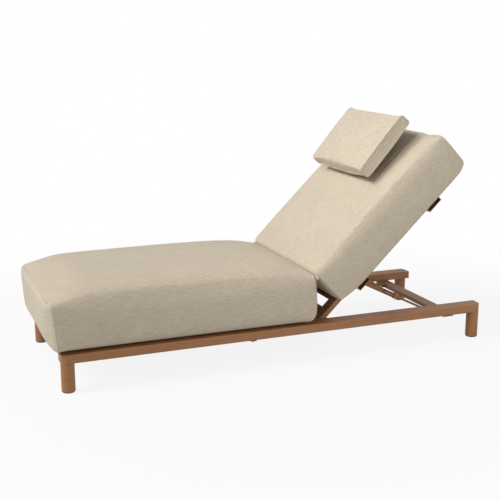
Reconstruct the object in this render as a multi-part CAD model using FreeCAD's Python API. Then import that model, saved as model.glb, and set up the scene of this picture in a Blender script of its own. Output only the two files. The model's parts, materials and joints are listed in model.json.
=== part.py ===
import FreeCAD, Part
import math
import os

os.makedirs("parts", exist_ok=True)

V = FreeCAD.Vector
X_AXIS = V(1, 0, 0)
Y_AXIS = V(0, 1, 0)
Z_AXIS = V(0, 0, 1)
SIDES = {"left": 1, "right": -1}

# Driving dimensions in millimetres. +X runs from the foot end to the head end, +Z is up.
rail_length = 2100.0
frame_width = 770.0
rail_width = 76.0
rail_height = 40.0
rail_wall = 3.0
rail_edge_radius = 4.0
leg_diameter = 60.0
leg_wall = 3.0
leg_height = 132.0
corner_length = 60.0
glide_show = 5.0
glide_recess = 2.0
glide_plug = 20.0
glide_plug_wall = 3.0
glide_floor = 2.0
glide_chamfer = 1.5
glide_fit = 0.15

# Cross members: a tube between the foot corners, two flatter tubes under the side rails
foot_bar_width = 36.0
foot_bar_height = 30.0
foot_bar_from_end = 42.0
cross_bar_width = 60.0
cross_bar_height = 20.0
cross_bar_wall = 2.5
mid_bar_width = 30.0
cross_bar_end_inset = 45.0
head_bar_from_end = 162.0
mid_bar_from_foot = 890.0
bolt_head_diameter = 14.0
bolt_head_height = 5.0

# Seat deck
slat_count = 5
slat_width = 90.0
slat_height = 14.0
slat_wall = 2.0
slat_end_gap = 1.0
ledge_width = 28.0
ledge_above_cross_bar = 6.0
ledge_thickness = 3.0
deck_from_foot_end = 80.0
deck_to_hinge = 85.0
screw_head_diameter = 9.0
screw_head_height = 2.5

# Backrest frame, measured along the backrest from its hinge
recline_angle = 44.0
hinge_from_foot_end = 1250.0
hinge_below_rail_top = 12.0
back_tube_width = 60.0
back_tube_depth = 25.0
back_tube_wall = 2.5
back_tube_length = 860.0
back_tube_heel = 17.0
back_tube_rail_gap = 8.0
back_slat_count = 4
back_slat_width = 70.0
back_slat_depth = 12.0
back_slat_first = 142.0
back_slat_pitch = 148.0
heel_bar_start = 16.0
heel_bar_width = 43.5
back_bar_depth = 40.0
back_bar_wall = 3.0
back_bar_rail_gap = 3.0
lower_bar_start = 236.0
lower_bar_width = 75.0
upper_bar_start = 751.0
upper_bar_width = 85.0

# Backrest hinges
hinge_pin_diameter = 12.0
hinge_pin_head = 20.0
hinge_pin_head_height = 4.0
bush_wall = 2.0
bush_flange_diameter = 24.0
bush_flange = 1.6
running_gap = 0.08
bush_fit = 0.1
bracket_length = 80.0
bracket_below_rail_top = 1.0
bracket_above_rail_bottom = 5.0
bracket_thickness = 6.0
bracket_corner = 8.0

# Telescopic stays that prop the backrest
stay_from_rail = 47.0
stay_foot_from_bar = 22.0
stay_foot_below_rail = 12.0
stay_head_along = 290.0
stay_head_below_bar = 24.0
channel_height = 24.0
channel_depth = 12.0
channel_wall = 2.5
channel_length = 195.0
channel_head_overhang = 12.0
channel_head_radius = 11.0
stay_bar_height = 11.0
stay_bar_thickness = 6.0
stay_overlap = 81.0
stay_bar_nose_radius = 5.0
stay_bar_foot_overhang = 9.0
collar_length = 22.0
collar_wall = 2.0
collar_edge_radius = 2.0
slider_length = 40.0
slide_gap = 0.4
stay_pin_diameter = 8.0
rivet_head_diameter = 16.0
rivet_head_height = 3.0
rivet_tail = 2.0
lug_thickness = 5.0
lug_width = 28.0
lug_gap = 0.4
lug_edge = 1.0
anchor_nose = 7.0

# Cushions
cushion_overhang = 50.0
seat_side_overhang = 5.0
seat_waist = 7.0
back_side_overhang = 8.0
back_waist = 3.0
cushion_seat_gap = 0.7
crease_gap = 0.5
seat_shoulder = 272.0
seat_crown = 16.0
seat_length_crown = 14.0
back_shoulder = 214.0
back_crown = 20.0
back_length_crown = 15.0
back_cushion_start = 122.0
back_cushion_end = 1021.0
seat_low_radius = 36.0
seat_top_radius = 44.0
back_low_radius = 18.0
back_top_radius = 34.0
cushion_side_bulge = 6.0
plan_corner_radius = 42.0
end_round_length = 60.0
end_stations = (0.0, 0.06, 0.2, 0.45, 0.75, 1.0, 1.4)
middle_stations = (0.27, 0.5, 0.73)
end_crown_share = 0.35
seat_end_rounds = ((40.0, 48.0), (52.0, 44.0))
back_end_rounds = ((30.0, 44.0), (44.0, 44.0))
seat_corner_pulls = (0.6, 0.25)
back_corner_pulls = (0.12, 0.4)

# Head pillow, its strap and the counterweight in the strap's pocket
pillow_width = 520.0
pillow_height = 330.0
pillow_gusset = 71.0
pillow_crown = 42.0
pillow_waist = 8.0
pillow_edge_radius = 12.0
pillow_side_bulge = 4.0
pillow_end_round = 9.0
pillow_tilt = 5.5
pillow_start = 648.0
pillow_gap = 0.5
pillow_stations = (0.0, 0.01, 0.03, 0.14, 0.32, 0.5, 0.68, 0.86, 0.97, 0.99, 1.0)
pillow_end_crown_share = 0.3
pillow_corner_pull = 0.5
strap_from_tube = 36.0
strap_thickness = 3.0
strap_gap = 0.8
strap_front_start = 700.0
strap_back_end = 836.0
strap_radius = 38.0
weight_start = 850.0
weight_length = 60.0
weight_thickness = 9.0
weight_in_strap = 10.0
weight_gap = 0.6
weight_corner = 10.0
weight_rim = 3.0

# Places that follow from the sizes above
overall_length = rail_length + cushion_overhang
foot_x = -overall_length / 2 + cushion_overhang
head_x = foot_x + rail_length
outer_y = frame_width / 2
inner_y = outer_y - rail_width
rail_top = leg_height + rail_height
hinge = V(foot_x + hinge_from_foot_end, 0, rail_top - hinge_below_rail_top)
tube_outer_y = inner_y - back_tube_rail_gap
tube_inner_y = tube_outer_y - back_tube_width
back_bar_half = inner_y - back_bar_rail_gap
half_tube = back_tube_depth / 2
ledge_drop = rail_height - slat_height - ledge_above_cross_bar
bush_outer = hinge_pin_diameter + 2 * running_gap + 2 * bush_wall
head_bar_face = head_x - head_bar_from_end - cross_bar_width / 2
stay_foot = V(head_bar_face - stay_foot_from_bar, 0, leg_height - stay_foot_below_rail)
stay_head_below = half_tube + back_bar_depth + stay_head_below_bar
stay_y = inner_y - stay_from_rail
stay_back_y = stay_y - channel_depth / 2
stay_front_y = stay_y + channel_depth / 2
strap_width = 2 * (tube_inner_y - strap_from_tube)
weight_width = strap_width - 2 * weight_in_strap


def save(name, shape):
    shape.exportStep(os.path.join("parts", name + ".step"))


def box(x0, x1, y0, y1, z0, z1):
    return Part.makeBox(x1 - x0, y1 - y0, z1 - z0, V(x0, y0, z0))


def cylinder_y(x, z, diameter, y0, y1):
    return Part.makeCylinder(diameter / 2, y1 - y0, V(x, y0, z), Y_AXIS)


def cylinder_z(x, y, diameter, z0, z1):
    return Part.makeCylinder(diameter / 2, z1 - z0, V(x, y, z0), Z_AXIS)


def edges_along(shape, axis):
    """The straight edges of a shape that run along one axis."""
    found = []
    for edge in shape.Edges:
        run = edge.lastVertex().Point - edge.firstVertex().Point
        if run.Length > 0 and abs(run.dot(axis)) > 0.999 * run.Length:
            found.append(edge)
    return found


def rounded_box(bounds, axis, radius):
    block = box(*bounds)
    return block.makeFillet(radius, edges_along(block, axis))


def rect_tube(bounds, axis, wall, radius):
    """A rectangular tube, open at both ends along the given axis."""
    x0, x1, y0, y1, z0, z1 = bounds
    outer = rounded_box(bounds, axis, radius)
    in_x = 0 if axis == X_AXIS else wall
    in_y = 0 if axis == Y_AXIS else wall
    inner = box(x0 + in_x, x1 - in_x, y0 + in_y, y1 - in_y, z0 + wall, z1 - wall)
    return outer.cut(inner)


def span_y(side, y_low, y_high):
    """The Y range between two distances from the middle, on one side."""
    return (y_low, y_high) if side > 0 else (-y_high, -y_low)


def on_back(shape):
    """Places a shape that is drawn with the backrest flat and its hinge at the origin."""
    placed = shape.copy()
    placed.rotate(V(0, 0, 0), Y_AXIS, -recline_angle)
    placed.translate(hinge)
    return placed


def back_point(along, normal):
    angle = math.radians(recline_angle)
    x = hinge.x + along * math.cos(angle) - normal * math.sin(angle)
    z = hinge.z + along * math.sin(angle) + normal * math.cos(angle)
    return V(x, 0, z)


def make_side_rails():
    x0 = foot_x + corner_length
    x1 = head_x - corner_length
    for name, side in SIDES.items():
        y0, y1 = span_y(side, inner_y, outer_y)
        bounds = (x0, x1, y0, y1, leg_height, rail_top)
        save("side_rail_" + name, rect_tube(bounds, X_AXIS, rail_wall, rail_edge_radius))


def make_corner(end_x, inward, side):
    """The block that closes a rail and turns round the top of its leg."""
    leg_radius = leg_diameter / 2
    x0, x1 = sorted((end_x, end_x + inward * corner_length))
    y0, y1 = span_y(side, inner_y, outer_y)
    block = rounded_box((x0, x1, y0, y1, leg_height, rail_top), X_AXIS, rail_edge_radius)
    blank = box(x0, x1, y0, y1, leg_height, rail_top)
    outer_corner = V(end_x, side * outer_y, 0)
    vertical = []
    for edge in edges_along(blank, Z_AXIS):
        point = edge.firstVertex().Point
        if abs(point.x - outer_corner.x) < 1 and abs(point.y - outer_corner.y) < 1:
            vertical.append(edge)
    return block.common(blank.makeFillet(leg_radius, vertical))


def make_leg(x, y):
    outer = cylinder_z(x, y, leg_diameter, glide_show, leg_height)
    bore = cylinder_z(x, y, leg_diameter - 2 * leg_wall, glide_show, leg_height)
    return outer.cut(bore)


def make_glide(x, y):
    """A moulded foot: a chamfered pad under the leg and a hollow plug inside it."""
    pad = cylinder_z(x, y, leg_diameter - 2 * glide_recess, 0, glide_show)
    rim = [edge for edge in pad.Edges if edge.BoundBox.ZMax < glide_show / 2]
    pad = pad.makeChamfer(glide_chamfer, rim)
    plug_diameter = leg_diameter - 2 * leg_wall - 2 * glide_fit
    plug = cylinder_z(x, y, plug_diameter, glide_show, glide_show + glide_plug)
    hollow_diameter = plug_diameter - 2 * glide_plug_wall
    hollow = cylinder_z(x, y, hollow_diameter, glide_show + glide_floor, glide_show + glide_plug)
    return pad.fuse(plug.cut(hollow)).removeSplitter()


def make_corners_and_legs():
    leg_inset = leg_diameter / 2
    ends = {"foot": (foot_x, 1), "head": (head_x, -1)}
    for end_name, (end_x, inward) in ends.items():
        for side_name, side in SIDES.items():
            suffix = end_name + "_" + side_name
            x = end_x + inward * leg_inset
            y = side * (outer_y - leg_inset)
            save("rail_corner_" + suffix, make_corner(end_x, inward, side))
            save("leg_" + suffix, make_leg(x, y))
            save("foot_glide_" + suffix, make_glide(x, y))


def make_foot_bar():
    x = foot_x + foot_bar_from_end
    z = leg_height + rail_height / 2
    reach_x = foot_bar_width / 2
    reach_z = foot_bar_height / 2
    bounds = (x - reach_x, x + reach_x, -inner_y, inner_y, z - reach_z, z + reach_z)
    save("foot_cross_bar", rect_tube(bounds, Y_AXIS, cross_bar_wall, cross_bar_wall))


def make_cross_bars():
    places = {
        "mid_cross_bar": (foot_x + mid_bar_from_foot, mid_bar_width),
        "head_cross_bar": (head_x - head_bar_from_end, cross_bar_width),
    }
    half = outer_y - cross_bar_end_inset
    bottom = leg_height - cross_bar_height
    bolts = []
    bolt_y = (inner_y + half) / 2
    for name, (x, width) in places.items():
        bounds = (x - width / 2, x + width / 2, -half, half, bottom, leg_height)
        save(name, rect_tube(bounds, Y_AXIS, cross_bar_wall, cross_bar_wall))
        for side in SIDES.values():
            bolts.append(cylinder_z(x, side * bolt_y, bolt_head_diameter, bottom - bolt_head_height, bottom))
    save("cross_bar_bolts", Part.makeCompound(bolts))


def seat_slat_places():
    first = foot_x + deck_from_foot_end + slat_width / 2
    last = hinge.x - deck_to_hinge - slat_width / 2
    step = (last - first) / (slat_count - 1)
    return [first + index * step for index in range(slat_count)]


def make_seat_deck():
    slat_bottom = rail_top - slat_height
    half = inner_y - slat_end_gap
    x0 = foot_x + deck_from_foot_end
    x1 = hinge.x - deck_to_hinge
    for name, side in SIDES.items():
        flange = span_y(side, inner_y - ledge_width, inner_y)
        web = span_y(side, inner_y - ledge_thickness, inner_y)
        top = box(x0, x1, *flange, slat_bottom - ledge_thickness, slat_bottom)
        drop = box(x0, x1, *web, slat_bottom - ledge_drop, slat_bottom)
        save("seat_ledge_" + name, top.fuse(drop).removeSplitter())
    screws = []
    screw_y = inner_y - ledge_width / 2
    screw_top = slat_bottom - ledge_thickness
    screw_low = screw_top - screw_head_height
    for index, x in enumerate(seat_slat_places()):
        bounds = (x - slat_width / 2, x + slat_width / 2, -half, half, slat_bottom, rail_top)
        save("seat_slat_%d" % (index + 1), rect_tube(bounds, Y_AXIS, slat_wall, slat_wall))
        for side in SIDES.values():
            screws.append(cylinder_z(x, side * screw_y, screw_head_diameter, screw_low, screw_top))
    save("slat_screws", Part.makeCompound(screws))


def make_hinges():
    pins = []
    bushes = []
    plate_top = rail_top - bracket_below_rail_top
    plate_bottom = leg_height + bracket_above_rail_bottom
    plate_x = (hinge.x - bracket_length / 2, hinge.x + bracket_length / 2)
    pin_end = tube_inner_y - bush_flange - running_gap
    for name, side in SIDES.items():
        plate_y = span_y(side, inner_y - bracket_thickness, inner_y)
        plate = rounded_box((*plate_x, *plate_y, plate_bottom, plate_top), Y_AXIS, bracket_corner)
        save("hinge_bracket_" + name, plate.cut(cylinder_y(hinge.x, hinge.z, hinge_pin_diameter, *plate_y)))
        shank = cylinder_y(hinge.x, hinge.z, hinge_pin_diameter, *span_y(side, pin_end, inner_y))
        head_y = span_y(side, pin_end - hinge_pin_head_height, pin_end)
        head = cylinder_y(hinge.x, hinge.z, hinge_pin_head, *head_y)
        pins.append(shank.fuse(head))
        sleeve = cylinder_y(hinge.x, hinge.z, bush_outer, *span_y(side, tube_inner_y, tube_outer_y))
        outer_flange = span_y(side, tube_outer_y, tube_outer_y + bush_flange)
        inner_flange = span_y(side, tube_inner_y - bush_flange, tube_inner_y)
        for flange in (outer_flange, inner_flange):
            sleeve = sleeve.fuse(cylinder_y(hinge.x, hinge.z, bush_flange_diameter, *flange))
        bore_y = span_y(side, tube_inner_y - bush_flange, tube_outer_y + bush_flange)
        bore = cylinder_y(hinge.x, hinge.z, hinge_pin_diameter + 2 * running_gap, *bore_y)
        bushes.append(sleeve.cut(bore))
    save("hinge_pins", Part.makeCompound(pins))
    save("hinge_bushes", Part.makeCompound(bushes))


def make_back_tubes():
    for name, side in SIDES.items():
        y0, y1 = span_y(side, tube_inner_y, tube_outer_y)
        bounds = (-back_tube_heel, back_tube_length, y0, y1, -half_tube, half_tube)
        solid = rounded_box(bounds, X_AXIS, back_tube_wall)
        hollow = box(
            -back_tube_heel,
            back_tube_length - back_tube_wall,
            y0 + back_tube_wall,
            y1 - back_tube_wall,
            -half_tube + back_tube_wall,
            half_tube - back_tube_wall,
        )
        tube = solid.cut(hollow).cut(cylinder_y(0, 0, bush_outer + 2 * bush_fit, y0, y1))
        save("back_tube_" + name, on_back(tube))


def back_cross_bar(start, width):
    """A rectangular tube across the underside of the back tubes."""
    top = -half_tube
    bounds = (start, start + width, -back_bar_half, back_bar_half, top - back_bar_depth, top)
    return on_back(rect_tube(bounds, Y_AXIS, back_bar_wall, back_bar_wall))


def back_slat(start, width):
    """A flat tube between the back tubes, level with their front faces."""
    bounds = (start, start + width, -tube_inner_y, tube_inner_y, half_tube - back_slat_depth, half_tube)
    return on_back(rect_tube(bounds, Y_AXIS, slat_wall, slat_wall))


def make_back_deck():
    save("back_lower_bar", back_cross_bar(lower_bar_start, lower_bar_width))
    save("back_upper_bar", back_cross_bar(upper_bar_start, upper_bar_width))
    save("back_heel_bar", back_slat(heel_bar_start, heel_bar_width))
    for index in range(back_slat_count):
        start = back_slat_first + index * back_slat_pitch - back_slat_width / 2
        save("back_slat_%d" % (index + 1), back_slat(start, back_slat_width))


def stay_frame():
    """The stay's upper pivot, its slope and the distance between its pivots."""
    head = back_point(stay_head_along, -stay_head_below)
    run = stay_foot - head
    return head, math.degrees(math.atan2(-run.z, run.x)), run.Length


def on_stay(shape):
    """Places a shape that is drawn along +X from the stay's upper pivot."""
    head, slope, _ = stay_frame()
    placed = shape.copy()
    placed.rotate(V(0, 0, 0), Y_AXIS, slope)
    placed.translate(head)
    return placed


def make_stay_channel(name, side):
    """The outer half of a stay: an open channel with the rivet that hangs it from the backrest."""
    half = channel_height / 2
    x0 = -channel_head_overhang
    channel_y = span_y(side, stay_back_y, stay_front_y)
    web_y = span_y(side, stay_back_y, stay_back_y + channel_wall)
    groove_y = span_y(side, stay_back_y + channel_wall, stay_front_y)
    blank = box(x0, channel_length, *channel_y, -half, half)
    head_edges = [edge for edge in edges_along(blank, Y_AXIS) if edge.firstVertex().Point.x < 0]
    outer = blank.makeFillet(channel_head_radius, head_edges)
    groove = box(x0, channel_length, *groove_y, -half + channel_wall, half - channel_wall)
    hole = cylinder_y(0, 0, stay_pin_diameter, *web_y)
    save("stay_channel_" + name, on_stay(outer.cut(groove).cut(hole)))
    shank_y = span_y(side, stay_back_y, stay_back_y + channel_wall + rivet_tail)
    head_y = span_y(side, stay_back_y - rivet_head_height, stay_back_y)
    head = cylinder_y(0, 0, rivet_head_diameter, *head_y)
    save("stay_rivet_" + name, on_stay(head.fuse(cylinder_y(0, 0, stay_pin_diameter, *shank_y))))
    ring_x = (channel_length - collar_length, channel_length)
    ring_y = span_y(side, stay_back_y - collar_wall, stay_front_y + collar_wall)
    ring_z = (-half - collar_wall, half + collar_wall)
    ring = rounded_box((*ring_x, *ring_y, *ring_z), X_AXIS, collar_edge_radius)
    save("stay_collar_" + name, on_stay(ring.cut(box(*ring_x, *channel_y, -half, half))))


def stay_bar_y(side):
    bar_back = stay_back_y + channel_wall + slide_gap
    return span_y(side, bar_back, bar_back + stay_bar_thickness)


def make_stay_bar(name, side):
    """The inner half of a stay: a flat bar that runs in the channel on a moulded slider."""
    _, _, pivot_distance = stay_frame()
    half = stay_bar_height / 2
    half_slider = channel_height / 2 - channel_wall - slide_gap
    bar_y = stay_bar_y(side)
    bar_start = channel_length - stay_overlap
    bar_end = pivot_distance + stay_bar_foot_overhang
    blank = box(bar_start, bar_end, *bar_y, -half, half)
    nose = [edge for edge in edges_along(blank, Y_AXIS) if edge.firstVertex().Point.x > pivot_distance]
    bar = blank.makeFillet(stay_bar_nose_radius, nose)
    eye = cylinder_y(pivot_distance, 0, stay_pin_diameter + 2 * running_gap, *bar_y)
    save("stay_bar_" + name, on_stay(bar.cut(eye)))
    slider = box(bar_start, bar_start + slider_length, *bar_y, -half_slider, half_slider)
    save("stay_slider_" + name, on_stay(slider.cut(blank)))


def make_stay_lug(name, side):
    """The plate under the lower back bar that a stay hangs from."""
    inner_face = stay_back_y - rivet_head_height - lug_gap
    lug_y = span_y(side, inner_face - lug_thickness, inner_face)
    top = -half_tube - back_bar_depth
    half = lug_width / 2
    plate = box(stay_head_along - half, stay_head_along + half, *lug_y, -stay_head_below - half, top)
    low = [edge for edge in edges_along(plate, Y_AXIS) if edge.firstVertex().Point.z < -stay_head_below]
    save("stay_lug_" + name, on_back(plate.makeFillet(half - lug_edge, low)))


def make_stay_anchor(name, side):
    """The fork on the head cross bar that holds a stay's lower end, and the pin through it."""
    bar_low, bar_high = stay_bar_y(side)
    bottom = leg_height - cross_bar_height
    near_cheek = (bar_low - lug_gap - lug_thickness, bar_low - lug_gap)
    far_cheek = (bar_high + lug_gap, bar_high + lug_gap + lug_thickness)
    across = (near_cheek[0], far_cheek[1])
    anchor = box(head_bar_face - lug_thickness, head_bar_face, *across, bottom, leg_height)
    for cheek in (near_cheek, far_cheek):
        anchor = anchor.fuse(box(stay_foot.x - anchor_nose, head_bar_face, *cheek, bottom, leg_height))
    pin = cylinder_y(stay_foot.x, stay_foot.z, stay_pin_diameter, *across)
    save("stay_anchor_" + name, anchor.cut(pin).removeSplitter())
    save("stay_pin_" + name, pin)


def make_stays():
    for name, side in SIDES.items():
        make_stay_channel(name, side)
        make_stay_bar(name, side)
        make_stay_lug(name, side)
        make_stay_anchor(name, side)


def cushion_section(x, half_width, bottom, shoulder, crown, radii, bulge, low_crown=0.0):
    """One closed outline across a cushion: bulging sides, a crowned top, a flat or crowned base."""
    low_radius, top_radius = radii
    diagonal = math.sqrt(0.5)

    def point(y, z):
        return V(x, y, z)

    def corner(y_side, y_mid, z_mid, radius, up):
        return point(y_side * (y_mid + radius * diagonal), z_mid + up * radius * diagonal)

    low_y = half_width - low_radius
    top_y = half_width - top_radius
    low_z = bottom + low_radius
    top_z = shoulder - top_radius
    side_mid = (low_z + top_z) / 2
    side_y = half_width + bulge
    arcs = [
        (point(low_y, bottom), corner(1, low_y, low_z, low_radius, -1), point(half_width, low_z)),
        (point(half_width, low_z), point(side_y, side_mid), point(half_width, top_z)),
        (point(half_width, top_z), corner(1, top_y, top_z, top_radius, 1), point(top_y, shoulder)),
        (point(top_y, shoulder), point(0, shoulder + crown), point(-top_y, shoulder)),
        (point(-top_y, shoulder), corner(-1, top_y, top_z, top_radius, 1), point(-half_width, top_z)),
        (point(-half_width, top_z), point(-side_y, side_mid), point(-half_width, low_z)),
        (point(-half_width, low_z), corner(-1, low_y, low_z, low_radius, -1), point(-low_y, bottom)),
    ]
    if low_crown > 0:
        base = Part.Arc(point(-low_y, bottom), point(0, bottom - low_crown), point(low_y, bottom)).toShape()
    else:
        base = Part.makeLine(point(-low_y, bottom), point(low_y, bottom))
    edges = [base]
    for start, middle, end in arcs:
        edges.append(Part.Arc(start, middle, end).toShape())
    return Part.Wire(edges)


def round_in(distance, radius):
    """How far a rounded end has drawn in at a distance from the end face."""
    if distance >= radius:
        return 0.0
    return radius - math.sqrt(radius ** 2 - (radius - distance) ** 2)


def swell_at(share):
    """Fullness along a cushion: nothing at its ends, one in the middle."""
    return 4 * share * (1 - share)


def stations(length):
    """Where a cushion's outlines stand: close together at its rounded ends."""
    near = [end_round_length * step for step in end_stations]
    middle = [length * share for share in middle_stations]
    far = [length - distance for distance in reversed(near)]
    return near + middle + far


def top_line(distance, length, shoulder, crown, length_crown, ends):
    """The shoulder height and the crown above it, at a distance along a cushion."""
    swell = swell_at(distance / length)
    end_distance = min(distance, length - distance)
    top_round = ends[0][0] if distance < length / 2 else ends[1][0]
    z_top = shoulder - length_crown * (1 - swell) - round_in(end_distance, top_round)
    return z_top, crown * (end_crown_share + (1 - end_crown_share) * swell)


def cushion(span, heights, crowns, side, radii, ends, corner_pulls):
    """A long cushion lofted from end to end. Each end has its own top and bottom rounding."""
    x0, x1 = span
    bottom, shoulder = heights
    crown, length_crown = crowns
    overhang, waist = side
    length = x1 - x0
    sections = []
    for distance in stations(length):
        swell = swell_at(distance / length)
        end_distance = min(distance, length - distance)
        low_round = ends[0][1] if distance < length / 2 else ends[1][1]
        corner_pull = corner_pulls[0] if distance < length / 2 else corner_pulls[1]
        draw_in = corner_pull * round_in(end_distance, plan_corner_radius)
        half_width = outer_y + overhang - cushion_side_bulge - waist * swell - draw_in
        z_top, section_crown = top_line(distance, length, shoulder, crown, length_crown, ends)
        z_low = bottom + round_in(end_distance, low_round)
        section = cushion_section(
            x0 + distance, half_width, z_low, z_top, section_crown, radii, cushion_side_bulge
        )
        sections.append(section)
    return Part.makeLoft(sections, True, False)


def crease_x():
    """The foremost place on the back cushion's lower end, which the seat cushion stops short of."""
    places = []
    for distance in stations(back_cushion_end - back_cushion_start):
        along = back_cushion_start + distance
        places.append(back_point(along, back_surface(along)).x)
    return min(places)


def make_seat_cushion():
    bottom = rail_top + cushion_seat_gap
    shoulder = rail_top + seat_shoulder
    seat = cushion(
        (foot_x - cushion_overhang, crease_x() - crease_gap),
        (bottom, shoulder),
        (seat_crown, seat_length_crown),
        (seat_side_overhang, seat_waist),
        (seat_low_radius, seat_top_radius),
        seat_end_rounds,
        seat_corner_pulls,
    )
    save("seat_cushion", seat)


def make_back_cushion():
    back = cushion(
        (back_cushion_start, back_cushion_end),
        (half_tube + cushion_seat_gap, half_tube + back_shoulder + back_length_crown),
        (back_crown, back_length_crown),
        (back_side_overhang, back_waist),
        (back_low_radius, back_top_radius),
        back_end_rounds,
        back_corner_pulls,
    )
    save("back_cushion", on_back(back))


def back_surface(along):
    """The height of the back cushion's middle line above the backrest, at a place along it."""
    length = back_cushion_end - back_cushion_start
    shoulder = half_tube + back_shoulder + back_length_crown
    z_top, crown = top_line(
        along - back_cushion_start, length, shoulder, back_crown, back_length_crown, back_end_rounds
    )
    return z_top + crown


def pillow_shape(share):
    """How far the pillow's end has drawn in and how far its faces swell, at a share of its height."""
    end_distance = min(share, 1 - share) * pillow_height
    swell = pillow_end_crown_share + (1 - pillow_end_crown_share) * swell_at(share)
    return round_in(end_distance, pillow_end_round), pillow_crown * swell


def pillow_rise():
    """The height at which the leaning pillow just clears the strap under it."""
    heights = []
    for share in pillow_stations:
        draw_in, crown = pillow_shape(share)
        along = pillow_start + share * pillow_height
        lean = share * pillow_height * math.tan(math.radians(pillow_tilt))
        strap_top = back_surface(max(along, strap_front_start)) + strap_gap + strap_thickness
        heights.append(strap_top + crown - draw_in - lean)
    return max(heights) + pillow_gap


def make_pillow():
    """A boxed pillow, crowned on both faces, that leans a little off the back cushion."""
    sections = []
    radii = (pillow_edge_radius, pillow_edge_radius)
    for share in pillow_stations:
        draw_in, crown = pillow_shape(share)
        half_width = pillow_width / 2 - pillow_waist * swell_at(share) - pillow_corner_pull * draw_in
        top = pillow_gusset - draw_in
        x = share * pillow_height
        outline = cushion_section(x, half_width, draw_in, top, crown, radii, pillow_side_bulge, crown)
        sections.append(outline)
    pillow = Part.makeLoft(sections, True, False)
    pillow.rotate(V(0, 0, 0), Y_AXIS, -pillow_tilt)
    pillow.translate(V(pillow_start, 0, pillow_rise()))
    save("head_pillow", on_back(pillow))


def strap_path(offset):
    """The strap's line over the end of the back cushion, at an offset from the cover."""
    corner_along = back_cushion_end - strap_radius
    front = back_surface(corner_along)
    back = half_tube + cushion_seat_gap
    diagonal = (strap_radius + offset) * math.sqrt(0.5)

    def point(along, normal):
        return V(along, -strap_width / 2, normal)

    middle_along = (strap_front_start + corner_along) / 2
    start = point(strap_front_start, back_surface(strap_front_start) + offset)
    middle = point(middle_along, back_surface(middle_along) + offset)
    turn = point(corner_along, front + offset)
    front_arc = point(corner_along + diagonal, front - strap_radius + diagonal)
    end_top = point(back_cushion_end + offset, front - strap_radius)
    end_low = point(back_cushion_end + offset, back + strap_radius)
    back_arc = point(corner_along + diagonal, back + strap_radius - diagonal)
    back_turn = point(corner_along, back - offset)
    finish = point(strap_back_end, back - offset)
    edges = [
        Part.Arc(start, middle, turn).toShape(),
        Part.Arc(turn, front_arc, end_top).toShape(),
        Part.makeLine(end_top, end_low),
        Part.Arc(end_low, back_arc, back_turn).toShape(),
        Part.makeLine(back_turn, finish),
    ]
    return edges, start, finish


def make_strap_and_weight():
    inner, inner_start, inner_finish = strap_path(strap_gap)
    outer, outer_start, outer_finish = strap_path(strap_gap + strap_thickness)
    closing = [Part.makeLine(inner_start, outer_start), Part.makeLine(inner_finish, outer_finish)]
    outline = Part.Wire(Part.__sortEdges__(inner + outer + closing))
    strap = Part.Face(outline).extrude(V(0, strap_width, 0))
    save("pillow_strap", on_back(strap))
    top = half_tube + cushion_seat_gap - strap_gap - strap_thickness - weight_gap
    half = weight_width / 2
    bounds = (weight_start, weight_start + weight_length, -half, half, top - weight_thickness, top)
    pouch = rounded_box(bounds, Z_AXIS, weight_corner)
    rims = [edge for edge in pouch.Edges if edge.BoundBox.ZLength < weight_rim]
    save("pillow_counterweight", on_back(pouch.makeFillet(weight_rim, rims)))


def make_all():
    make_side_rails()
    make_corners_and_legs()
    make_foot_bar()
    make_cross_bars()
    make_seat_deck()
    make_hinges()
    make_back_tubes()
    make_back_deck()
    make_stays()
    make_seat_cushion()
    make_back_cushion()
    make_pillow()
    make_strap_and_weight()


make_all()
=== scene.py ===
import json
import math
from dataclasses import dataclass

import bpy
import numpy as np
from mathutils import Matrix, Vector, noise
from mathutils.bvhtree import BVHTree


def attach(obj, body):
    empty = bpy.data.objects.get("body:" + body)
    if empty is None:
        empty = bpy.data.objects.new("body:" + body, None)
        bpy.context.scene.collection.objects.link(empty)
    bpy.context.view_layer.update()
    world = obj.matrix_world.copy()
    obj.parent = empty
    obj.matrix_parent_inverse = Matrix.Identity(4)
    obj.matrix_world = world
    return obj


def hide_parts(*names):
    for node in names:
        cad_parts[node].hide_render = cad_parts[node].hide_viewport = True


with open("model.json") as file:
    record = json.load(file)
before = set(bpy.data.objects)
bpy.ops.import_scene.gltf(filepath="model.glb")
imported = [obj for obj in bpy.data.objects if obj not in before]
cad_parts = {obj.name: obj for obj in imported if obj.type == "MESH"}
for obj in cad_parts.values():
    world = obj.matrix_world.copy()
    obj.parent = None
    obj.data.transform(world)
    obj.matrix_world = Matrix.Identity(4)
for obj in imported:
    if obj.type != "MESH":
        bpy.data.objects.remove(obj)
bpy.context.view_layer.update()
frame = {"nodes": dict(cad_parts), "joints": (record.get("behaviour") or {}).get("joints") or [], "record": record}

# The camera, fitted to the photograph's straight rails and legs, in metres and degrees
CAMERA_PLACE = (-1.6335, -4.0939, 1.4997)
CAMERA_YAW = 21.512
CAMERA_PITCH = 13.295
CAMERA_LENS_MM = 66.48
CAMERA_SENSOR_MM = 36.0

# Finishes, as linear colours
CLOTH_LIGHT = (0.595, 0.515, 0.405, 1)
CLOTH_MID = (0.505, 0.435, 0.335, 1)
CLOTH_DARK = (0.41, 0.35, 0.265, 1)
COAT_LIGHT = (0.325, 0.147, 0.056, 1)
COAT_DARK = (0.258, 0.114, 0.042, 1)
NYLON = (0.016, 0.014, 0.012, 1)
ZINC_LIGHT = (0.55, 0.53, 0.50, 1)
ZINC_DARK = (0.34, 0.33, 0.31, 1)
THREAD = (0.42, 0.35, 0.25, 1)
FLOOR = (0.62, 0.62, 0.62, 1)
WHITE = (1, 1, 1, 1)

# The cloth's yarns: their pitch in metres, and the patterns per metre of their fibres both ways
YARN_PITCH = 0.0026
FIBRES_ALONG = (24, 230, 1)
FIBRES_ACROSS = (420, 60, 1)

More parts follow.
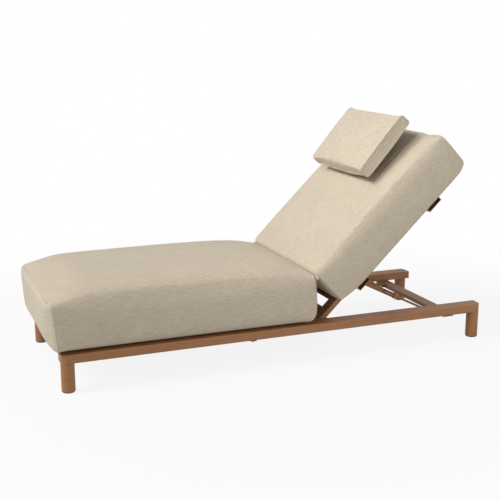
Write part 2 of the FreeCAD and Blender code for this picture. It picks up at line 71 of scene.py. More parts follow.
# The floor, in metres. By the object, a share of its look is plain white and the rest keeps the
# shadow. Between two distances from the middle it turns all white.
FLOOR_HALF = 30.0
FLOOR_WHITE = 0.88
FLOOR_SHADOW_REACH = (1.2, 2.8)

# The world is seen as white, and lights the object with this strength.
WORLD_LIGHT = 0.35

# The lamps, in metres and watts, their spread in degrees
LAMPS = {
    "key": {"place": (-8.1, 0.2, 7.7), "target": (0, 0, 0.4), "size": 5.0, "power": 1060},
    "fill": {"place": (2.6, -5.2, 2.0), "target": (0.6, 0, 0.5), "size": 3.5, "power": 95},
    "head": {
        "place": (-2.4, -2.0, 3.0), "target": (0.8, 0, 1.0), "size": 1.2, "power": 4, "spread": 45
    },
}

# How far the pillow leans on the back cushion, as in the part's source
PILLOW_LEAN = math.radians(5.5)

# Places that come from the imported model
joints = {joint["name"]: joint for joint in frame["joints"]}
recline = math.radians(max(joints["recline"]["range_deg"]))
hinge = Vector(joints["recline"]["pos_m"])
on_back = Matrix.Translation(hinge) @ Matrix.Rotation(-recline, 4, "Y")
on_pillow = on_back @ Matrix.Rotation(-PILLOW_LEAN, 4, "Y")
# The pillow and the counterweight are built from side to side: their long axis is the width.
side_to_side = Matrix(((0, 1, 0, 0), (1, 0, 0, 0), (0, 0, 1, 0), (0, 0, 0, 1)))

# Below these, a share or a length in metres counts as none.
NO_SHARE = 1e-6
NO_LENGTH = 1e-9


def local_box(node, matrix):
    """The lowest and highest corner of a CAD node, in the axes of a matrix."""
    back = matrix.inverted()
    points = np.array([back @ vertex.co for vertex in frame["nodes"][node].data.vertices])
    return Vector(points.min(0)), Vector(points.max(0))


# Materials

def new_material(name):
    material = bpy.data.materials.new(name)
    material.use_nodes = True
    shader = material.node_tree.nodes["Principled BSDF"]
    return material, material.node_tree, shader


def add_node(tree, kind, **settings):
    node = tree.nodes.new(kind)
    for key, value in settings.items():
        setattr(node, key, value)
    return node


def set_inputs(node, **values):
    for key, value in values.items():
        node.inputs[key.replace("_", " ")].default_value = value
    return node


def object_place(tree):
    return add_node(tree, "ShaderNodeTexCoord").outputs["Object"]


def noise_node(tree, vector, scale, detail, roughness=0.55):
    node = add_node(tree, "ShaderNodeTexNoise")
    set_inputs(node, Scale=scale, Detail=detail, Roughness=roughness)
    tree.links.new(vector, node.inputs["Vector"])
    return node.outputs["Fac"]


def stretched(tree, vector, scale):
    node = add_node(tree, "ShaderNodeMapping")
    node.inputs["Scale"].default_value = scale
    tree.links.new(vector, node.inputs["Vector"])
    return node.outputs["Vector"]


def math_node(tree, operation, *values):
    node = add_node(tree, "ShaderNodeMath", operation=operation)
    for socket, value in zip(node.inputs, values):
        if isinstance(value, (int, float)):
            socket.default_value = value
        else:
            tree.links.new(value, socket)
    return node.outputs["Value"]


def added(tree, *parts):
    """The sum of several values, each times its share."""
    total = None
    for value, share in parts:
        part = math_node(tree, "MULTIPLY", value, share)
        total = part if total is None else math_node(tree, "ADD", total, part)
    return total


def ranged(tree, value, least, spread):
    """A value from 0 to 1 as one that starts at the least and goes up by the spread."""
    return math_node(tree, "ADD", math_node(tree, "MULTIPLY", value, spread), least)


def scaled(colour, share):
    return tuple(share * part for part in colour[:3]) + (1,)


def colour_by(tree, factor, shader, *stops):
    """Colours a shader by a factor, with a colour at each stop."""
    node = add_node(tree, "ShaderNodeValToRGB")
    elements = node.color_ramp.elements
    while len(elements) < len(stops):
        elements.new(0.5)
    for element, (place, colour) in zip(elements, stops):
        element.position = place
        element.color = colour
    tree.links.new(factor, node.inputs["Fac"])
    tree.links.new(node.outputs["Color"], shader.inputs["Base Color"])


def bump_by(tree, height, shader, strength, distance):
    node = add_node(tree, "ShaderNodeBump")
    set_inputs(node, Strength=strength, Distance=distance)
    tree.links.new(height, node.inputs["Height"])
    tree.links.new(node.outputs["Normal"], shader.inputs["Normal"])


def cloth_material(name, tone):
    """A melange cloth: a plain weave of uneven yarns, light and dark fibres mixed both ways."""
    material, tree, shader = new_material(name)
    uv = add_node(tree, "ShaderNodeUVMap", uv_map="cloth").outputs["UV"]
    along, across = (
        noise_node(tree, stretched(tree, uv, fibres), scale=1.0, detail=4.0, roughness=0.62)
        for fibres in (FIBRES_ALONG, FIBRES_ACROSS)
    )
    fleck = noise_node(tree, uv, scale=620.0, detail=2.0)
    patches = noise_node(tree, uv, scale=9.0, detail=2.0)
    shade = added(tree, (along, 0.38), (across, 0.38), (fleck, 0.16), (patches, 0.08))
    dark, mid, light = (scaled(colour, tone) for colour in (CLOTH_DARK, CLOTH_MID, CLOTH_LIGHT))
    colour_by(tree, shade, shader, (0.40, dark), (0.50, mid), (0.60, light))
    split = add_node(tree, "ShaderNodeSeparateXYZ")
    tree.links.new(uv, split.inputs["Vector"])
    warp, weft = (
        math_node(tree, "SINE", math_node(tree, "MULTIPLY", way, 2 * math.pi / YARN_PITCH))
        for way in (split.outputs["X"], split.outputs["Y"])
    )
    weave = math_node(tree, "MULTIPLY", warp, weft)
    relief = added(tree, (weave, 0.5), (shade, 1.6))
    bump_by(tree, relief, shader, strength=0.55, distance=0.0006)
    set_inputs(shader, Roughness=0.92, Specular_IOR_Level=0.18)
    set_inputs(shader, Sheen_Weight=0.12, Sheen_Roughness=0.5)
    return material


def coat_material():
    """A matt powder coat with a faint lengthwise grain."""
    material, tree, shader = new_material("coat")
    place = object_place(tree)
    lengthwise = stretched(tree, place, (5, 90, 90))
    grain = noise_node(tree, lengthwise, scale=1.0, detail=5.0, roughness=0.6)
    cloud = noise_node(tree, place, scale=6.0, detail=2.0)
    shade = added(tree, (grain, 0.6), (cloud, 0.4))
    colour_by(tree, shade, shader, (0.34, COAT_DARK), (0.66, COAT_LIGHT))
    speck = noise_node(tree, place, scale=1400.0, detail=2.0)
    gloss = ranged(tree, speck, least=0.42, spread=0.14)
    tree.links.new(gloss, shader.inputs["Roughness"])
    relief = math_node(tree, "ADD", speck, grain)
    bump_by(tree, relief, shader, strength=0.16, distance=0.0004)
    set_inputs(shader, Specular_IOR_Level=0.42)
    return material


def nylon_material():
    material, tree, shader = new_material("nylon")
    speck = noise_node(tree, object_place(tree), scale=2200.0, detail=2.0)
    colour_by(tree, speck, shader, (0.3, NYLON), (0.8, scaled(NYLON, 2.2)))
    bump_by(tree, speck, shader, strength=0.2, distance=0.0003)
    set_inputs(shader, Roughness=0.55, Specular_IOR_Level=0.4)
    return material


def zinc_material():
    material, tree, shader = new_material("zinc")
    cloud = noise_node(tree, object_place(tree), scale=260.0, detail=4.0)
    colour_by(tree, cloud, shader, (0.35, ZINC_DARK), (0.65, ZINC_LIGHT))
    gloss = ranged(tree, cloud, least=0.2, spread=0.3)
    tree.links.new(gloss, shader.inputs["Roughness"])
    bump_by(tree, cloud, shader, strength=0.1, distance=0.0003)
    set_inputs(shader, Metallic=1.0)
    return material


def thread_material():
    material, tree, shader = new_material("thread")
    twist = noise_node(tree, object_place(tree), scale=3000.0, detail=2.0)
    colour_by(tree, twist, shader, (0.3, scaled(THREAD, 0.6)), (0.7, THREAD))
    bump_by(tree, twist, shader, strength=0.3, distance=0.0002)
    set_inputs(shader, Roughness=0.8)
    return material


cloth = cloth_material("cushion_cloth", tone=1.0)
strap_cloth = cloth_material("strap_cloth", tone=0.95)
thread = thread_material()
slot_materials = {
    "coated_metal": coat_material(),
    "moulded_nylon": nylon_material(),
    "zinc_steel": zinc_material(),
    "cushion_fabric": cloth,
    "strap_fabric": strap_cloth,
}
for subpart in frame["record"]["subparts"]:
    node = frame["nodes"][subpart["node"]]
    node.data.materials.clear()
    node.data.materials.append(slot_materials[subpart["material_slot"]])


# Meshes

def store(mesh, name, values):
    attribute = mesh.attributes.new(name, "FLOAT", "POINT")
    attribute.data.foreach_set("value", np.asarray(values, np.float32))


def stored(mesh, name):
    values = np.zeros(len(mesh.vertices), np.float32)
    mesh.attributes[name].data.foreach_get("value", values)
    return values.astype(float)


def places(mesh):
    values = np.zeros(len(mesh.vertices) * 3, np.float32)
    mesh.vertices.foreach_get("co", values)
    return values.reshape(-1, 3).astype(float)


def put(mesh, points):
    mesh.vertices.foreach_set("co", np.asarray(points, np.float32).ravel())
    mesh.update()


def normals(mesh):
    values = np.zeros(len(mesh.vertices) * 3, np.float32)
    mesh.vertex_normals.foreach_get("vector", values)
    return values.reshape(-1, 3).astype(float)


def new_piece(name, points, faces, matrix, material):
    mesh = bpy.data.meshes.new(name)
    mesh.from_pydata([tuple(point) for point in points], [], faces)
    mesh.polygons.foreach_set("use_smooth", [True] * len(mesh.polygons))
    mesh.materials.append(material)
    piece = bpy.data.objects.new(name, mesh)
    bpy.context.scene.collection.objects.link(piece)
    piece.matrix_world = matrix
    return piece


def search_tree(mesh, matrix=Matrix.Identity(4)):
    """A search tree of a mesh, moved by a matrix."""
    return BVHTree.FromPolygons(
        [matrix @ vertex.co for vertex in mesh.vertices],
        [tuple(polygon.vertices) for polygon in mesh.polygons],
    )


def runs_along(line):
    """How far along a line of points each of them lies."""
    steps = np.linalg.norm(np.diff(line, axis=0), axis=1)
    return np.concatenate(([0.0], np.cumsum(steps)))


def ease(share):
    share = min(max(share, 0.0), 1.0)
    return share * share * (3 - 2 * share)


# Cushions

# How the ends of a cushion turn: the powers of the share of the way to the cap
DROP_POWER = 4.5
LIFT_POWER = 1.8
PULL_POWER = 2.2
ROUND_POWER = 1.5
INSET_POWER = 2
BULGE_POWER = 3
MOST_ROUND = 0.98

# The cloth simulation that blows a cover up
CLOTH_FRAMES = 20
CLOTH_QUALITY = 6
CLOTH_PRESSURE = 4.0

# Evening out along the upper edges: its reach as a share of the height, and its rate in a round
SOFTEN_REACH = 0.25
SOFTEN_RATE = 0.5

# Seams, in metres: the cloth dips into them, stands up beside them and gathers along them.
TUCK_DEPTH = 0.0022
TUCK_WIDTH = 0.0035
RIDGE_HEIGHT = 0.0008
RIDGE_PLACE = 0.008
RIDGE_WIDTH = 0.005
PUCKER_START = 0.006
PUCKER_REACH = 0.028
# Noise in layers, each with its height and its scale per metre
GATHERS = ((1.0, 62.0), (0.6, 140.0))
UNEVENNESS = ((0.0016, 6.0), (0.0007, 17.0), (0.00022, 60.0))
# The noise along the seam at the second end is this far from the noise at the first.
END_SHIFT = 3.0
SEED_SHIFT = (17.3, 5.1, 9.7)

# How far a cover's lower half, and a quiet zone, may stand out of the CAD solid, in metres
LOW_PROUD = 0.007
QUIET_PROUD = 0.0008
QUIET_FADE_ALONG = 0.30
QUIET_FADE_ACROSS = 0.10

# Thread stitches, in metres, and the profile of one: places along it and shares of its width
SEAM_STITCH = {"pitch": 0.0065, "long": 0.0045, "wide": 0.00055, "lift": 0.0002}
HEM_STITCH = {"pitch": 0.005, "long": 0.0034, "wide": 0.0004, "lift": 0.0001}
STITCH_PROFILE = ((0.0, 0.35), (0.2, 1.0), (0.8, 1.0), (1.0, 0.35))
STITCH_SIDES = 6


@dataclass
class Cushion:
    """A sewn cushion: one panel that wraps round it, and a cap sewn in at each end.

    It lies in local axes, with x from cap to cap. Lengths are in metres. A pair has a value for
    each end, the one at low x first.
    """
    node: str
    matrix: Matrix
    # Radii of the long edges, and the shares of them that are left at the caps
    top_radius: float
    low_radius: float
    end_round: tuple
    # How far the top and the base stand out across, the top along, and their shares at the caps
    crown: float
    base_crown: float
    length_crown: float
    end_crown_share: float
    # How far the sides draw in half way along, and how far they stand out half way up
    waist: float
    side_bulge: float
    # How far the top comes down and the base goes up towards the caps, and over what lengths
    end_drop: tuple
    drop_reach: tuple
    end_lift: tuple
    lift_reach: tuple
    # The length over which an end turns, and how far its sides and its low and high edge draw in
    end_reach: tuple
    end_pull: tuple
    cap_inset: tuple
    # How far a cap stands out, and the power that flattens it
    cap_bulge: tuple
    cap_square: float
    # The lattice's step, and its finer steps from each end
    step: float
    fine: tuple
    # How far the simulation may move the cloth, and how often its upper edges are evened out
    swell_cap: float
    soft_rounds: int
    # How far the cover may stand out of the CAD solid, and past its ends
    proud: float
    overrun: tuple
    # The height of the gathers along the seams
    pucker: float
    # Where along and how far across the cover begins to stay close to the CAD solid
    quiet: tuple = None


def graded(length, step, fine):
    """Places along a length: the fine steps from each end, then even ones between them."""
    start = np.cumsum((0.0,) + fine)
    count = max(1, round((length - 2 * start[-1]) / step))
    middle = np.linspace(start[-1], length - start[-1], count + 1)
    return np.concatenate((start[:-1], middle, length - start[-2::-1]))


def box_grid(counts):
    """Lattice points on a box, the quads between them turned outwards, and each quad's panel."""
    nx, ny, nz = counts
    index = {}
    quads = []
    panels = []

    def add(panel, outwards, corners):
        quad = [index.setdefault(corner, len(index)) for corner in corners]
        quads.append(quad if outwards else quad[::-1])
        panels.append(panel)

    for i in range(nx):
        for j in range(ny):
            for panel, k in (("base", 0), ("top", nz)):
                add(panel, k > 0, [(i, j, k), (i + 1, j, k), (i + 1, j + 1, k), (i, j + 1, k)])
        for k in range(nz):
            for panel, j in (("near", 0), ("far", ny)):
                add(panel, j == 0, [(i, j, k), (i + 1, j, k), (i + 1, j, k + 1), (i, j, k + 1)])
    for j in range(ny):
        for k in range(nz):
            for i in (0, nx):
                add("cap", i > 0, [(i, j, k), (i, j + 1, k), (i, j + 1, k + 1), (i, j, k + 1)])
    return np.array(list(index)), quads, panels


def cushion_points(form, low, high, x, t, r, on_cap):
    """Where the lattice points lie: x along the cushion, t across and r up it, from -1 to 1."""
    length = high.x - low.x
    distance = x - low.x
    swell = 4 * (distance / length) * (1 - distance / length)
    first = distance < length / 2
    near = np.minimum(distance, length - distance)

    def turned(reach):
        return np.clip(1 - near / np.where(first, *reach), 0, 1)

    # The section at each x, a rounded rectangle
    turn = turned(form.end_reach)
    drop = np.where(first, *form.end_drop) * turned(form.drop_reach) ** DROP_POWER
    lift = np.where(first, *form.end_lift) * turned(form.lift_reach) ** LIFT_POWER
    pull = np.where(first, *form.end_pull) * turn ** PULL_POWER
    half_width = (high.y - low.y) / 2 - form.side_bulge - form.waist * swell - pull
    bottom = low.z + form.base_crown + lift
    shoulder = high.z - form.crown - form.length_crown * (1 - swell) - drop
    half_height = (shoulder - bottom) / 2
    # On a cap, the lattice lies in rings, each a smaller copy of the section.
    ring = np.where(on_cap, np.maximum(np.abs(t), np.abs(r)), 1.0)
    ring = np.maximum(ring, NO_SHARE)
    py = t / ring * half_width
    pz = r / ring * half_height
    sharpened = 1 - (1 - np.where(first, *form.end_round)) * turn ** ROUND_POWER
    radius = np.where(pz > 0, form.top_radius, form.low_radius) * sharpened
    radius = np.minimum(radius, MOST_ROUND * half_height)
    cy = np.clip(py, radius - half_width, half_width - radius)
    cz = np.clip(pz, radius - half_height, half_height - radius)
    reach_y, reach_z = py - cy, pz - cz
    size = np.maximum(np.hypot(reach_y, reach_z), NO_LENGTH)
    y = (cy + radius * reach_y / size) * ring
    z = (cz + radius * reach_z / size) * ring
    # The sides, the top, the base and the caps stand out.
    upright = np.clip(1 - (z / half_height) ** 2, 0, 1)
    y = y + np.sign(y) * form.side_bulge * upright * np.abs(y / half_width) ** BULGE_POWER
    level = np.clip(1 - (y / half_width) ** 2, 0, 1)
    rise = np.clip(z / half_height, -1, 1)
    fullness = form.end_crown_share + (1 - form.end_crown_share) * swell
    z = z + np.where(rise > 0, form.crown, form.base_crown) * fullness * level * rise
    inset_low, inset_top = np.where(first[:, None], *form.cap_inset).T
    inset = (inset_low + (inset_top - inset_low) * (rise + 1) / 2) * turn ** INSET_POWER
    flat = np.where(on_cap, 1 - ring ** form.cap_square, 0)
    bulge = np.where(first, *form.cap_bulge) * flat
    x = x + np.where(first, 1, -1) * (inset - bulge)
    y = y + (high.y + low.y) / 2
    return np.stack((x, y, z + (shoulder + bottom) / 2), axis=1)


def girth_lines(points, lattice, counts):
    """How far up the side and across the top each lattice line lies, in metres of cloth."""
    nx, ny, nz = counts
    place = {tuple(corner): point for corner, point in zip(lattice, points)}
    middle = nx // 2
    side = [place[(middle, 0, k)] for k in range(nz + 1)]
    top = [place[(middle, j, nz)] for j in range(ny + 1)]
    return runs_along(side), runs_along(top)


def cloth_measure(mesh, points, lattice, counts, panels):
    """The UV map in metres of cloth, which runs on from panel to panel round the cushion."""
    side, top = girth_lines(points, lattice, counts)
    layer = mesh.uv_layers.new(name="cloth")
    for polygon, panel in zip(mesh.polygons, panels):
        for loop in polygon.loop_indices:
            vertex = mesh.loops[loop].vertex_index
            x, y, z = points[vertex]
            _, j, k = lattice[vertex]
            around = {
                "base": -top[j],
                "near": side[k],
                "top": side[-1] + top[j],
                "far": 2 * side[-1] + top[-1] - side[k],
                "cap": z,
            }[panel]
            layer.data[loop].uv = (y if panel == "cap" else x, around)


def inflate(piece, pinned, limit):
    """Blows the cover up as cloth with its seams and base held, each point within a limit."""
    group = piece.vertex_groups.new(name="held")
    group.add([int(index) for index in np.flatnonzero(pinned)], 1.0, "REPLACE")
    modifier = piece.modifiers.new("cloth", "CLOTH")
    settings = modifier.settings
    settings.quality = CLOTH_QUALITY
    settings.vertex_group_mass = "held"
    settings.use_pressure = True
    settings.uniform_pressure_force = CLOTH_PRESSURE
    settings.effector_weights.gravity = 0
    modifier.collision_settings.use_collision = False
    scene = bpy.context.scene
    for number in range(1, CLOTH_FRAMES + 1):
        scene.frame_set(number)
    graph = bpy.context.evaluated_depsgraph_get()
    blown = places(piece.evaluated_get(graph).data)
    piece.modifiers.remove(modifier)
    piece.vertex_groups.remove(group)
    scene.frame_set(1)
    start = places(piece.data)
    move = blown - start
    length = np.maximum(np.linalg.norm(move, axis=1, keepdims=True), NO_LENGTH)
    put(piece.data, start + move / length * limit * np.tanh(length / limit))


def subdivide(piece):
    modifier = piece.modifiers.new("subdivide", "SUBSURF")
    modifier.levels = 1
    graph = bpy.context.evaluated_depsgraph_get()
    finer = bpy.data.meshes.new_from_object(
        piece.evaluated_get(graph), preserve_all_data_layers=True, depsgraph=graph
    )
    piece.modifiers.clear()
    piece.data = finer


def soften(mesh, reach, rounds):
    """Evens out the cloth along the upper long edges, away from the seams, so they stay round."""
    points = places(mesh)
    ends = np.zeros(len(mesh.edges) * 2, np.int32)
    mesh.edges.foreach_get("vertices", ends)
    first, second = ends.reshape(-1, 2).T
    count = np.bincount(ends, minlength=len(points))[:, None]
    off_seam = np.clip(stored(mesh, "seam") / reach, 0, 1)
    share = np.exp(-(stored(mesh, "edge") / reach) ** 2) * off_seam
    for _ in range(rounds):
        around = np.zeros_like(points)
        np.add.at(around, first, points[second])
        np.add.at(around, second, points[first])
        points = points + SOFTEN_RATE * share[:, None] * (around / count - points)
    put(mesh, points)


def rough(points, layers, seed):
    """Smooth seeded noise at each point, in layers of a height and a scale."""
    total = 0
    for order, (height, scale) in enumerate(layers):
        shift = Vector([(seed + order) * part for part in SEED_SHIFT])
        total = total + height * np.array(
            [noise.noise(Vector(point * scale) + shift) for point in points]
        )
    return total


def sew(mesh, form, seed):
    """The seams draw the cover in and gather it, and the cloth lies a little uneven elsewhere."""
    points = places(mesh)
    seam = stored(mesh, "seam")
    end = np.where(points[:, 0] > 0, END_SHIFT, 0.0)
    rim = np.stack((stored(mesh, "rim_y"), stored(mesh, "rim_z"), end), axis=1)
    tuck = -TUCK_DEPTH * np.exp(-(seam / TUCK_WIDTH) ** 2)
    ridge = RIDGE_HEIGHT * np.exp(-((seam - RIDGE_PLACE) / RIDGE_WIDTH) ** 2)
    gathers = form.pucker * rough(rim, GATHERS, seed)
    pucker = gathers * np.exp(-seam / PUCKER_REACH) * (1 - np.exp(-(seam / PUCKER_START) ** 2))
    uneven = rough(points, UNEVENNESS, seed + len(GATHERS))
    calm = np.clip(stored(mesh, "calm"), 0, 1)
    height = tuck + ridge + pucker + uneven * (1 - calm)
    put(mesh, points + normals(mesh) * height[:, None])


def quiet_share(form, point):
    """How far a point lies in the form's quiet zone, from 0 to 1."""
    if form.quiet is None:
        return 0.0
    along, across = form.quiet
    inwards = across + QUIET_FADE_ACROSS - abs(point[1])
    return ease((point[0] - along) / QUIET_FADE_ALONG) * ease(inwards / QUIET_FADE_ACROSS)


def keep_inside(piece, form, low, high):
    """No point stands further out of the CAD solid than the form allows, or below its base."""
    solid = search_tree(frame["nodes"][form.node].data, form.matrix.inverted())
    points = places(piece.data)
    middle = (low.z + high.z) / 2
    for index, point in enumerate(points):
        above = ease((point[2] - middle) / (high.z - middle))
        proud = min(form.proud, LOW_PROUD) + max(form.proud - LOW_PROUD, 0) * above
        proud += (min(proud, QUIET_PROUD) - proud) * quiet_share(form, point)
        nearest, normal, _, _ = solid.find_nearest(Vector(point))
        out = (Vector(point) - nearest).dot(normal)
        if out > 0:
            back = out - proud * math.tanh(out / max(proud, NO_LENGTH))
            points[index] = point - back * np.array(normal)
    points[:, 0] = np.clip(points[:, 0], low.x - form.overrun[0], high.x + form.overrun[1])
    points[:, 2] = np.maximum(points[:, 2], low.z)
    put(piece.data, points)


def make_cushion(name, form, seed, slot="cushion_fabric"):
    """The cover of a cushion: its lattice, blown up as cloth, then sewn and kept to its solid."""
    low, high = local_box(form.node, form.matrix)
    length, width, height = high - low
    xs = low.x + graded(length, form.step, form.fine)
    ts = graded(width, form.step, form.fine) / width * 2 - 1
    rs = graded(height, form.step, form.fine) / height * 2 - 1
    counts = (len(xs) - 1, len(ts) - 1, len(rs) - 1)
    lattice, quads, panels = box_grid(counts)
    x = xs[lattice[:, 0]]
    t = ts[lattice[:, 1]]
    r = rs[lattice[:, 2]]
    on_cap = (lattice[:, 0] == 0) | (lattice[:, 0] == counts[0])
    points = cushion_points(form, low, high, x, t, r, on_cap)
    piece = new_piece(name, points, quads, form.matrix, slot_materials[slot])
    cloth_measure(piece.data, points, lattice, counts, panels)
    ring = np.maximum(np.abs(t), np.abs(r))
    to_rim = (1 - ring) * min(width, height) / 2
    store(piece.data, "seam", np.where(on_cap, to_rim, np.minimum(x - low.x, high.x - x)))
    store(piece.data, "edge", (1 - np.abs(t)) * width / 2 + (1 - r) * height / 2)
    store(piece.data, "rim_y", t / np.maximum(ring, NO_SHARE) * width / 2)
    store(piece.data, "rim_z", r / np.maximum(ring, NO_SHARE) * height / 2)
    base = (r < -1 + NO_SHARE) & ~on_cap
    store(piece.data, "calm", base * 1.0)
    on_seam = on_cap & (ring > 1 - NO_SHARE)
    inflate(piece, on_seam | base, form.swell_cap)
    subdivide(piece)
    soften(piece.data, SOFTEN_REACH * height, form.soft_rounds)
    sew(piece.data, form, seed)
    keep_inside(piece, form, low, high)
    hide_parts(form.node)
    return piece


def stitch_row(line, ups, pitch, long, wide, lift):
    """Points and faces of a row of thread stitches along a line, each a low six-sided bar."""
    line = line + lift * ups
    runs = runs_along(line)
    sides = range(STITCH_SIDES)
    points = []
    faces = []

    def along_line(values, at):
        return np.array([np.interp(at, runs, values[:, axis]) for axis in range(3)])

    for start in np.arange(pitch / 2, runs[-1] - long, pitch):
        tail, tip = along_line(line, start), along_line(line, start + long)
        up = along_line(ups, start)
        up = up / np.linalg.norm(up)
        along = (tip - tail) / max(np.linalg.norm(tip - tail), NO_LENGTH)
        across = np.cross(up, along)
        first = len(points)
        for share, size in STITCH_PROFILE:
            middle = tail + (tip - tail) * share
            for side in sides:
                angle = 2 * math.pi * side / STITCH_SIDES
                spoke = across * math.cos(angle) + up * math.sin(angle)
                points.append(middle + wide * size * spoke)
        for ring in range(len(STITCH_PROFILE) - 1):
            for side in sides:
                a = first + STITCH_SIDES * ring + side
                b = first + STITCH_SIDES * ring + (side + 1) % STITCH_SIDES
                faces.append((a, b, b + STITCH_SIDES, a + STITCH_SIDES))
        last = len(points) - STITCH_SIDES
        faces.append(tuple(first + side for side in reversed(sides)))
        faces.append(tuple(last + side for side in sides))
    return points, faces


def sew_rows(name, rows, stitch, matrix, body):
    """One piece of thread stitches along several lines, each with the ways up along it."""
    points = []
    faces = []
    for line, ups in rows:
        row_points, row_faces = stitch_row(line, ups, **stitch)
        faces += [tuple(index + len(points) for index in face) for face in row_faces]
        points += row_points
    stitches = new_piece(name, points, faces, matrix, thread)
    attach(stitches, body)
    return stitches


def seam_rings(piece):
    """A cushion's two seam lines, in order round each end, with the cover's normals along them."""
    mesh = piece.data
    points = places(mesh)
    ups = normals(mesh)
    on_seam = stored(mesh, "seam") < NO_LENGTH
    middle = points[:, 0].mean()
    rings = []
    for side in (points[:, 0] < middle, points[:, 0] > middle):
        chosen = np.flatnonzero(on_seam & side)
        centre = points[chosen].mean(axis=0)
        angles = np.arctan2(points[chosen, 2] - centre[2], points[chosen, 1] - centre[1])
        order = chosen[np.argsort(angles)]
        order = np.concatenate((order, order[:1]))
        rings.append((points[order], ups[order]))
    return rings


def sew_seams(name, piece, body):
    """Thread stitches that lie in a cushion's two seams."""
    matrix = piece.matrix_world.copy()
    sew_rows(name, seam_rings(piece), SEAM_STITCH, matrix, body)


SEAT = Cushion(
    node="seat_cushion",
    matrix=Matrix.Identity(4),
    top_radius=0.046,
    low_radius=0.044,
    end_round=(0.35, 0.40),
    crown=0.012,
    base_crown=0.007,
    length_crown=0.012,
    end_crown_share=0.4,
    waist=0.006,
    side_bulge=0.002,
    end_drop=(0.042, 0.033),
    drop_reach=(0.30, 0.60),
    end_lift=(0.004, 0.032),
    lift_reach=(0.07, 0.030),
    end_reach=(0.075, 0.070),
    end_pull=(0.001, 0.003),
    cap_inset=((0.038, 0.013), (-0.009, 0.004)),
    cap_bulge=(0.034, 0.006),
    cap_square=7.0,
    step=0.022,
    fine=(0.003, 0.005, 0.008, 0.012, 0.016),
    swell_cap=0.010,
    soft_rounds=40,
    proud=0.009,
    overrun=(0.008, 0.008),
    pucker=0.0012,
)
BACK = Cushion(
    node="back_cushion",
    matrix=on_back,
    top_radius=0.026,
    low_radius=0.016,
    end_round=(0.65, 0.65),
    crown=0.006,
    base_crown=0.0,
    length_crown=0.003,
    end_crown_share=0.4,
    waist=-0.002,
    side_bulge=0.001,
    end_drop=(0.008, 0.030),
    drop_reach=(0.070, 0.13),
    end_lift=(0.026, 0.024),
    lift_reach=(0.15, 0.065),
    end_reach=(0.055, 0.065),
    end_pull=(0.002, 0.006),
    cap_inset=((0.002, 0.0), (0.003, 0.003)),
    cap_bulge=(0.012, 0.006),
    cap_square=4.0,
    step=0.022,
    fine=(0.003, 0.005, 0.008, 0.012, 0.016),
    swell_cap=0.010,
    soft_rounds=40,
    proud=0.018,
    overrun=(0.008, 0.004),
    pucker=0.0012,
    quiet=(0.26, 0.27),
)
PILLOW = Cushion(
    node="head_pillow",
    matrix=on_pillow @ side_to_side,
    top_radius=0.042,
    low_radius=0.024,
    end_round=(0.45, 0.45),
    crown=0.034,
    base_crown=0.050,
    length_crown=0.0,
    end_crown_share=0.06,
    waist=-0.012,
    side_bulge=0.0,
    end_drop=(0.003, 0.003),
    drop_reach=(0.060, 0.060),
    end_lift=(0.004, 0.004),
    lift_reach=(0.030, 0.030),
    end_reach=(0.030, 0.030),
    end_pull=(-0.006, -0.006),
    cap_inset=((0.0, 0.0), (0.0, 0.0)),
    cap_bulge=(0.006, 0.006),
    cap_square=2.0,
    step=0.016,
    fine=(0.003, 0.004, 0.006, 0.009),
    swell_cap=0.012,
    soft_rounds=160,
    proud=0.018,
    overrun=(0.010, 0.010),
    pucker=0.0014,
)
POUCH = Cushion(
    node="pillow_counterweight",
    matrix=on_back @ side_to_side,
    top_radius=0.0025,
    low_radius=0.0025,
    end_round=(1.0, 1.0),
    crown=0.0008,
    base_crown=0.0008,
    length_crown=0.0,
    end_crown_share=0.5,
    waist=0.001,
    side_bulge=0.0003,
    end_drop=(0.001, 0.001),
    drop_reach=(0.008, 0.008),
    end_lift=(0.001, 0.001),
    lift_reach=(0.008, 0.008),
    end_reach=(0.008, 0.008),
    end_pull=(0.002, 0.002),
    cap_inset=((0.0, 0.0), (0.0, 0.0)),
    cap_bulge=(0.0005, 0.0005),
    cap_square=2.0,
    step=0.008,
    fine=(0.001, 0.0015),
    swell_cap=0.001,
    soft_rounds=0,
    proud=0.0,
    overrun=(0.0, 0.0),
    pucker=0.0001,
)


# The strap and the crease strip

# The strap's way over the end of the back cushion, along and off the backrest, in metres
STRAP_HALF = 0.205
STRAP_START = 0.700
STRAP_FINISH = 0.838
STRAP_TURN = 0.052
STRAP_FRONT_DROP = 0.022
# Its rows of points along the front, round each turn, down the end and along the back
STRAP_FRONT_ROWS = 22
STRAP_TURN_ROWS = 10
STRAP_END_ROWS = 9
STRAP_BACK_ROWS = 12
# How far out of the cushion its cover is looked for
STRAP_SEARCH = 0.25
# The band's layers above the cover, in metres, and its hem, the thickest along its fold
STRAP_INNER = 0.0006
STRAP_OUTER = 0.0022
STRAP_HEM = 0.014
STRAP_HEM_LINES = 4
STRAP_HEM_RISE = 0.0009
STRAP_HEM_SLOPE = 0.2
STRAP_FOLD_SLOPE = 0.05
STRAP_FOLD_START = 0.25
STRAP_MIDDLE_LINES = 25
STRAP_BRIDGING = 3

# The strip in the crease between the two cushions, in metres
CREASE_REACH = 0.398
CREASE_TAB = 0.020
CREASE_TOP = 0.4065
CREASE_LOW = 0.365
CREASE_ARCH = 0.005
CREASE_SET = 0.0015
CREASE_HALF = 0.0006
# Its free ends: how far their tops come down, how narrow and how fast they get so, and how far
# they stand off
CREASE_END_DROP = 0.004
CREASE_END_HEIGHT = 0.012
CREASE_END_TAPER = 2.5
CREASE_END_OFF = 0.0016
CREASE_WAVE = 0.0004
CREASE_WAVE_TURN = 90
CREASE_LINES = 121
CREASE_STATIONS = 9


